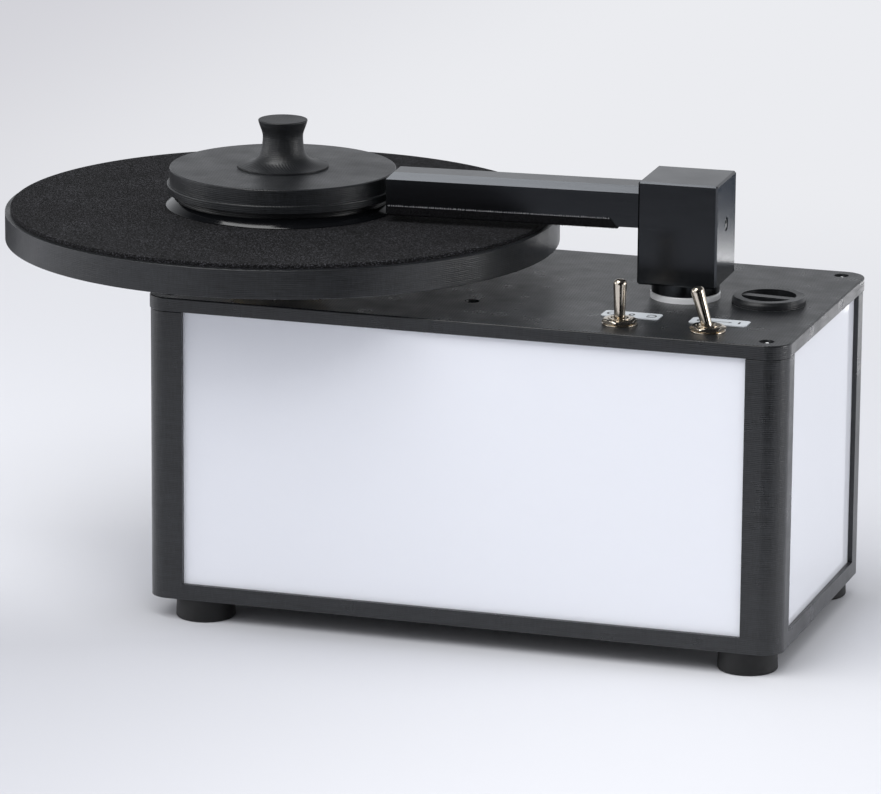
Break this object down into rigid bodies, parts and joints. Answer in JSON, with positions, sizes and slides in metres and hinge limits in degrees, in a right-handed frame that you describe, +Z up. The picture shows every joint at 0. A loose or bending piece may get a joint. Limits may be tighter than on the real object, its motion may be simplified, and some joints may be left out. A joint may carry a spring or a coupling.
{
  "type": "record cleaning machine",
  "caption": "Vacuum record cleaner: a box with black corner posts and opal panels carries an overhanging platter with a knobbed label clamp, a swinging suction arm, toggles and a tank cap.",
  "frame": {"origin": "on the surface it stands on, under the middle of the whole machine's bounding box; the spindle, the arm pivot and the cap's axis lie in the plane Y = 0", "axes": "+Z up, +X along the case from the platter to the tank cap, -Y towards the front panel and the switches"},
  "size_m": [0.4555, 0.3, 0.258],
  "materials": {
    "printed_case": "black printed plastic, fine layer texture",
    "opal_panel": "gloss white opal acrylic",
    "foot_rubber": "matte black",
    "screw_steel": "zinc plated",
    "cast_motor": "die-cast housing",
    "bare_aluminium": "turned, bare",
    "bearing_brass": "turned",
    "spindle_steel": "ground",
    "platter_black": "satin black, sealed edge",
    "mat_foam": "speckled black foam",
    "seal_rubber": "smooth black",
    "clamp_black": "black printed plastic",
    "knob_black": "satin black",
    "arm_black": "satin black",
    "arm_velvet": "black velvet",
    "tank_plastic": "natural translucent plastic",
    "cap_black": "satin black",
    "supply_plastic": "black",
    "switch_nickel": "nickel plated",
    "label_white": "white laminate"
  },
  "bodies": {
    "case": {"base_tray": "printed_case", "bearing_nut": "bare_aluminium", "bearing_ring": "bare_aluminium", "bracket_screws": "screw_steel", "case_screws": "screw_steel", "foot_front_left": "foot_rubber", "foot_front_right": "foot_rubber", "foot_rear_left": "foot_rubber", "foot_rear_right": "foot_rubber", "foot_screws": "screw_steel", "front_panel": "opal_panel", "left_panel": "opal_panel", "motor_screws": "screw_steel", "platter_motor": "cast_motor", "post_front_left": "printed_case", "post_front_right": "printed_case", "post_rear_left": "printed_case", "post_rear_right": "printed_case", "power_inlet": "supply_plastic", "power_supply": "supply_plastic", "rear_panel": "opal_panel", "right_panel": "opal_panel", "spindle_bearing": "bearing_brass", "switch_body_1": "switch_nickel", "switch_body_2": "switch_nickel", "switch_label_1": "label_white", "switch_label_2": "label_white", "switch_nuts": "switch_nickel", "switch_washers": "switch_nickel", "tank_inlet_seal": "seal_rubber", "top_plate": "printed_case", "vacuum_bracket": "screw_steel", "vacuum_hose": "seal_rubber", "vacuum_motor": "cast_motor", "vent_grille": "printed_case", "waste_tank": "tank_plastic"},
    "platter": {"platter": "platter_black", "platter_mat": "mat_foam", "platter_hub": "bare_aluminium", "hub_screws": "screw_steel", "platter_shaft": "spindle_steel"},
    "clamp": {"clamp_seal": "seal_rubber", "clamp_base": "clamp_black", "clamp_disc": "clamp_black", "clamp_knob": "knob_black", "clamp_bushing": "bearing_brass", "clamp_screws": "screw_steel"},
    "arm": {"arm_tube": "bare_aluminium", "arm_collar": "arm_black", "tower_block": "arm_black", "arm_bar": "arm_black", "velvet_front": "arm_velvet", "velvet_rear": "arm_velvet", "arm_end_plug": "arm_black", "grub_screw": "screw_steel", "tube_retainer": "bare_aluminium"},
    "lever_1": {"toggle_lever_1": "switch_nickel"},
    "lever_2": {"toggle_lever_2": "switch_nickel"},
    "cap": {"tank_cap": "cap_black", "cap_seal": "seal_rubber"}
  },
  "joints": [
    {"name": "platter_spin", "type": "hinge", "parent": "case", "child": "platter", "pos_m": [-0.07775, 0, 0.2], "axis": [0, 0, 1], "continuous": true},
    {"name": "clamp_lift", "type": "slide", "parent": "platter", "child": "clamp", "axis": [0, 0, 1], "range_m": [0, 0.025]},
    {"name": "arm_swing", "type": "hinge", "parent": "case", "child": "arm", "pos_m": [0.14845, 0, 0.2], "axis": [0, 0, 1], "range_deg": [-94, 86]},
    {"name": "lever_1_tilt", "type": "hinge", "parent": "case", "child": "lever_1", "pos_m": [0.13275, -0.072, 0.1785], "axis": [0, 1, 0], "range_deg": [-16.5, 16.5]},
    {"name": "lever_2_tilt", "type": "hinge", "parent": "case", "child": "lever_2", "pos_m": [0.18025, -0.072, 0.1785], "axis": [0, 1, 0], "range_deg": [0, 33]},
    {"name": "cap_turn", "type": "hinge", "parent": "case", "child": "cap", "pos_m": [0.19415, 0, 0.1775], "axis": [0, 0, 1], "range_deg": [0, 90]}
  ]
}
